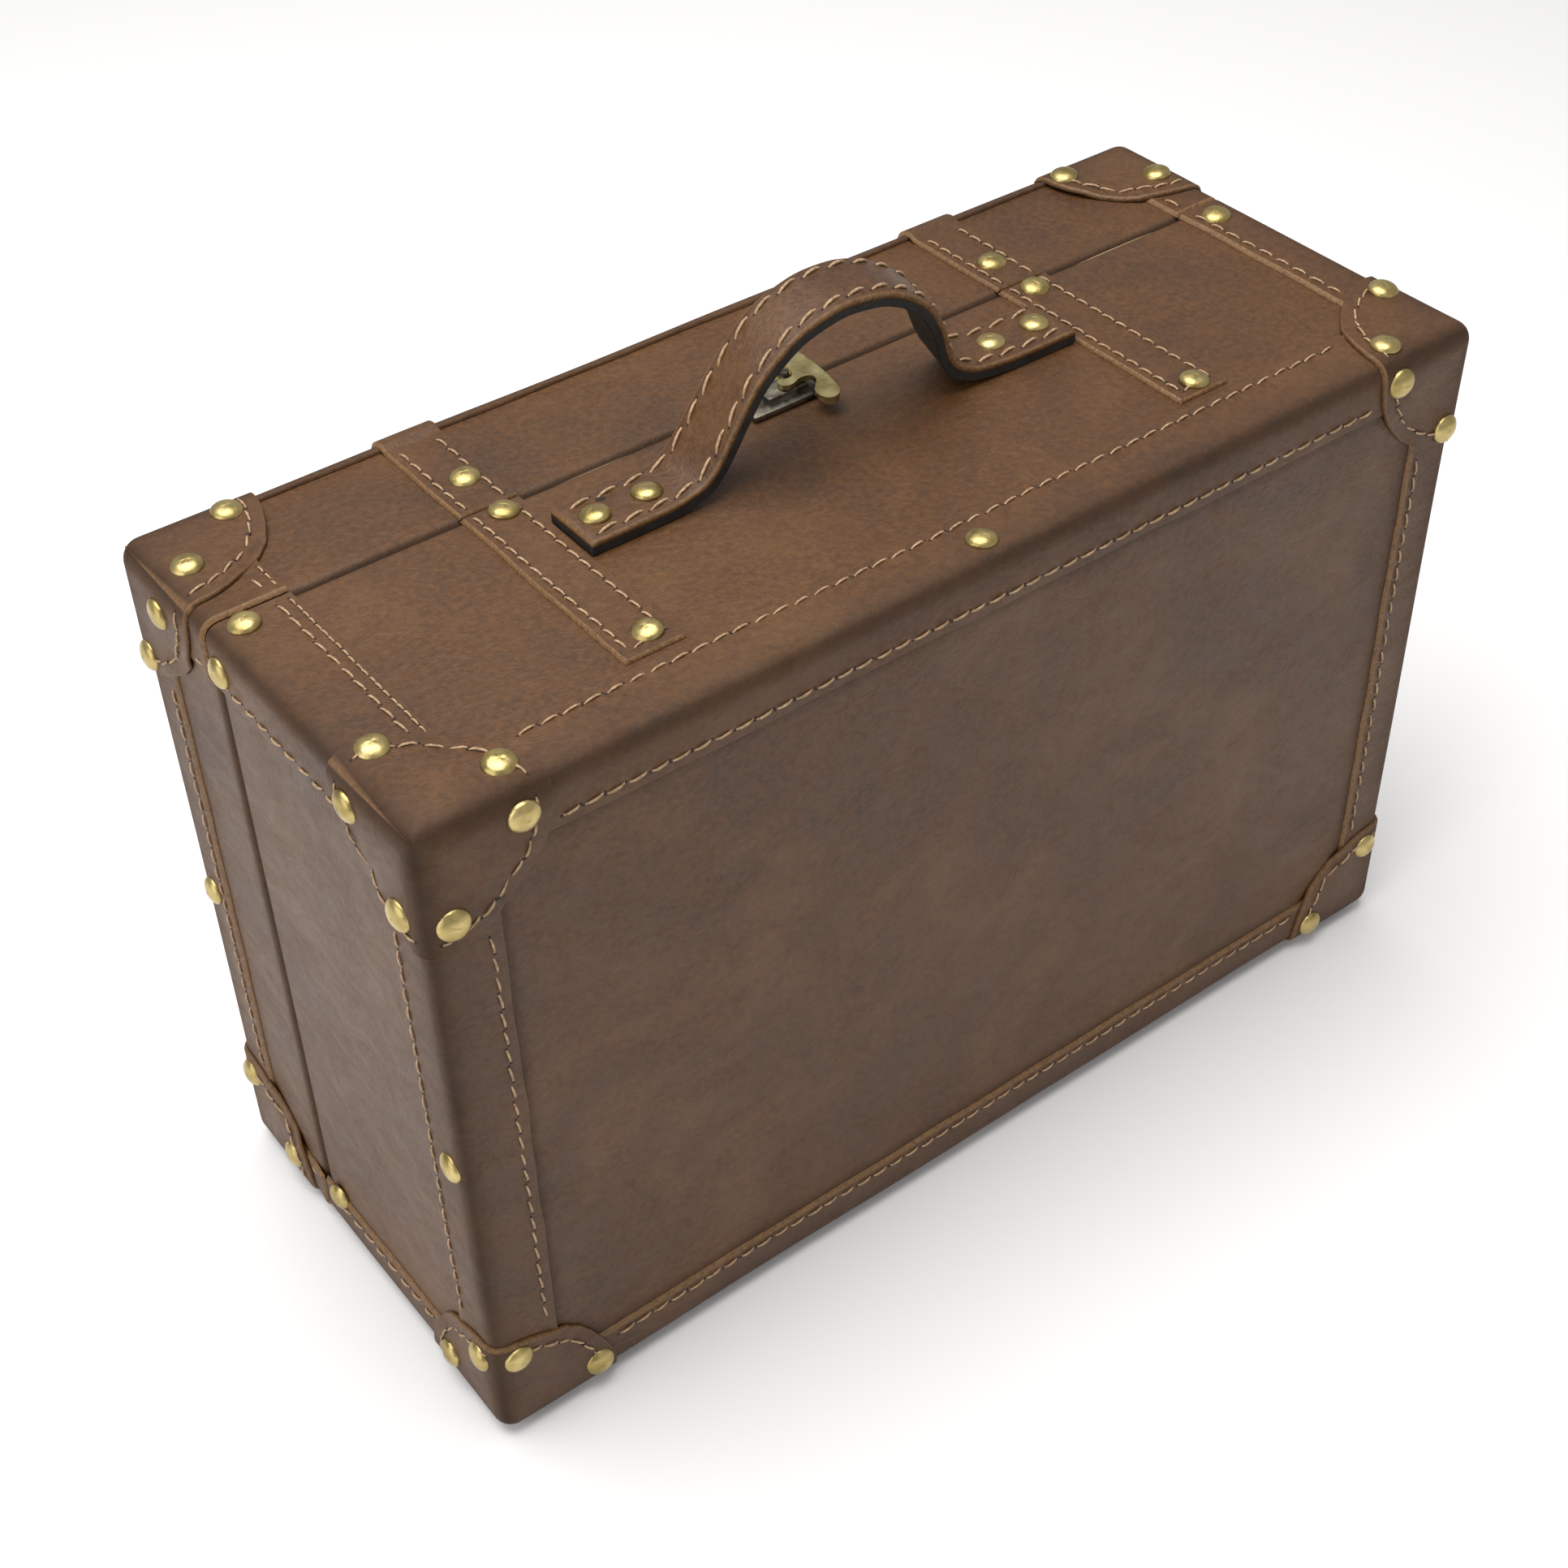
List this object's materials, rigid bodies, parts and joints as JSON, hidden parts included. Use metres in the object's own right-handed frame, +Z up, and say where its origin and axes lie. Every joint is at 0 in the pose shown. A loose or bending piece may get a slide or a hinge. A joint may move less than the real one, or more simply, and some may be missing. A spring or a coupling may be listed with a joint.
{
  "type": "suitcase record player",
  "caption": "Leather-covered suitcase with a strap handle, latch and hinged lid over a belt-driven turntable, standing closed on its hinge side.",
  "frame": {"origin": "centre of the bounding box at floor level, under the lowest nail heads of the hinge side", "axes": "+X along the long side from left to right as seen from the base face, +Y from the base towards the lid, +Z up from the hinge side to the handle"},
  "size_m": [0.3696, 0.158, 0.281],
  "materials": {
    "leather": "oiled brown cowhide, worn and slightly mottled",
    "trim_leather": "brown strap leather with raw tan cut edges, stitched with waxed thread and brass nails",
    "handle_lining": "black leather lining",
    "wood": "plain plywood",
    "lining_cloth": "brown lining cloth",
    "brass": "aged brass",
    "steel": "brushed",
    "deck": "grained dark vinyl finish",
    "speaker": "black paper cone and frame",
    "belt_rubber": "smooth",
    "platter_plastic": "moulded black",
    "felt": "black felt",
    "arm_plastic": "black",
    "arm_tube": "satin",
    "cartridge_plastic": "dark red",
    "knob": "turned, satin",
    "adapter_plastic": "black",
    "board": "green circuit board",
    "socket_plastic": "black"
  },
  "bodies": {
    "base": {"base_box": "wood", "base_leather": "leather", "base_face_binding": "trim_leather", "base_binding_top_left": "trim_leather", "base_patch_top_left": "trim_leather", "base_binding_bottom_left": "trim_leather", "base_patch_bottom_left": "trim_leather", "base_strap_left": "trim_leather", "hinge_base_left": "brass", "base_binding_top_right": "trim_leather", "base_patch_top_right": "trim_leather", "base_binding_bottom_right": "trim_leather", "base_patch_bottom_right": "trim_leather", "base_strap_right": "trim_leather", "hinge_base_right": "brass", "handle_strap": "trim_leather", "handle_backing": "handle_lining", "latch_base_plate": "brass", "deck_plate": "deck", "speaker_upper": "speaker", "speaker_lower": "speaker", "spindle": "steel", "belt": "belt_rubber", "motor": "steel", "tonearm_base": "arm_plastic", "arm_rest": "arm_plastic", "circuit_board": "board", "socket_plate": "socket_plastic"},
    "lid": {"lid_box": "wood", "lid_leather": "leather", "lid_lining": "lining_cloth", "lid_face_binding": "trim_leather", "lid_binding_top_left": "trim_leather", "lid_patch_top_left": "trim_leather", "lid_binding_bottom_left": "trim_leather", "lid_patch_bottom_left": "trim_leather", "lid_strap_left": "trim_leather", "hinge_lid_left": "brass", "lid_binding_top_right": "trim_leather", "lid_patch_top_right": "trim_leather", "lid_binding_bottom_right": "trim_leather", "lid_patch_bottom_right": "trim_leather", "lid_strap_right": "trim_leather", "hinge_lid_right": "brass", "latch_lid_plate": "brass"},
    "latch": {"latch_hook": "brass"},
    "platter": {"platter": "platter_plastic", "slipmat": "felt"},
    "pulley": {"motor_pulley": "brass"},
    "arm_turret": {"tonearm_yoke": "arm_plastic"},
    "arm": {"tonearm": "arm_tube", "counterweight": "steel", "cartridge": "cartridge_plastic"},
    "clip": {"arm_clip": "arm_plastic"},
    "cue_handle": {"cue_lever": "arm_plastic"},
    "cue_bar": {"cue_platform": "steel"},
    "volume": {"volume_knob": "knob"},
    "speed": {"speed_switch": "arm_plastic"},
    "adapter": {"single_adapter": "adapter_plastic"}
  },
  "joints": [
    {"name": "lid_hinge", "type": "hinge", "parent": "base", "child": "lid", "pos_m": [0, 0.02831, 0.0025], "axis": [-1, 0, 0], "range_deg": [0, 95]},
    {"name": "latch_swing", "type": "hinge", "parent": "lid", "child": "latch", "pos_m": [0.009, 0.03631, 0.2408], "axis": [0, 0, 1], "range_deg": [0, 100]},
    {"name": "platter_spin", "type": "hinge", "parent": "base", "child": "platter", "pos_m": [-0.02196, 0.02831, 0.1203], "axis": [0, -1, 0], "continuous": true},
    {"name": "pulley_spin", "type": "hinge", "parent": "base", "child": "pulley", "pos_m": [-0.07552, 0.02331, 0.06674], "axis": [0, -1, 0], "continuous": true},
    {"name": "tonearm_swing", "type": "hinge", "parent": "base", "child": "arm_turret", "pos_m": [0.118, 0.04631, 0.0483], "axis": [0, -1, 0], "range_deg": [0, 43]},
    {"name": "tonearm_lift", "type": "hinge", "parent": "arm_turret", "child": "arm", "pos_m": [0.118, 0.04631, 0.0483], "axis": [-1, 0, 0], "range_deg": [0, 3]},
    {"name": "cue_lever_turn", "type": "hinge", "parent": "base", "child": "cue_handle", "pos_m": [0.138, 0.03331, 0.0703], "axis": [-1, 0, 0], "range_deg": [0, 60]},
    {"name": "cue_bar_rise", "type": "slide", "parent": "base", "child": "cue_bar", "axis": [0, 1, 0], "range_m": [0, 0.0017]},
    {"name": "arm_clip_fold", "type": "hinge", "parent": "base", "child": "clip", "pos_m": [0.12405, 0.05291, 0.1663], "axis": [0, 0, 1], "range_deg": [0, 90]},
    {"name": "volume_turn", "type": "hinge", "parent": "base", "child": "volume", "pos_m": [0.15, 0.02831, 0.1503], "axis": [0, -1, 0], "range_deg": [0, 300]},
    {"name": "speed_slide", "type": "slide", "parent": "base", "child": "speed", "axis": [0, 0, 1], "range_m": [0, 0.014]},
    {"name": "adapter_lift_off", "type": "slide", "parent": "base", "child": "adapter", "axis": [0, 1, 0], "range_m": [0, 0.02]}
  ],
  "couplings": [
    {"joint": "pulley_spin", "follows": "platter_spin", "ratio": 11.949},
    {"joint": "tonearm_lift", "follows": "cue_lever_turn", "ratio": 0.05},
    {"joint": "cue_bar_rise", "follows": "cue_lever_turn", "m_per_rad": 0.0016233}
  ]
}
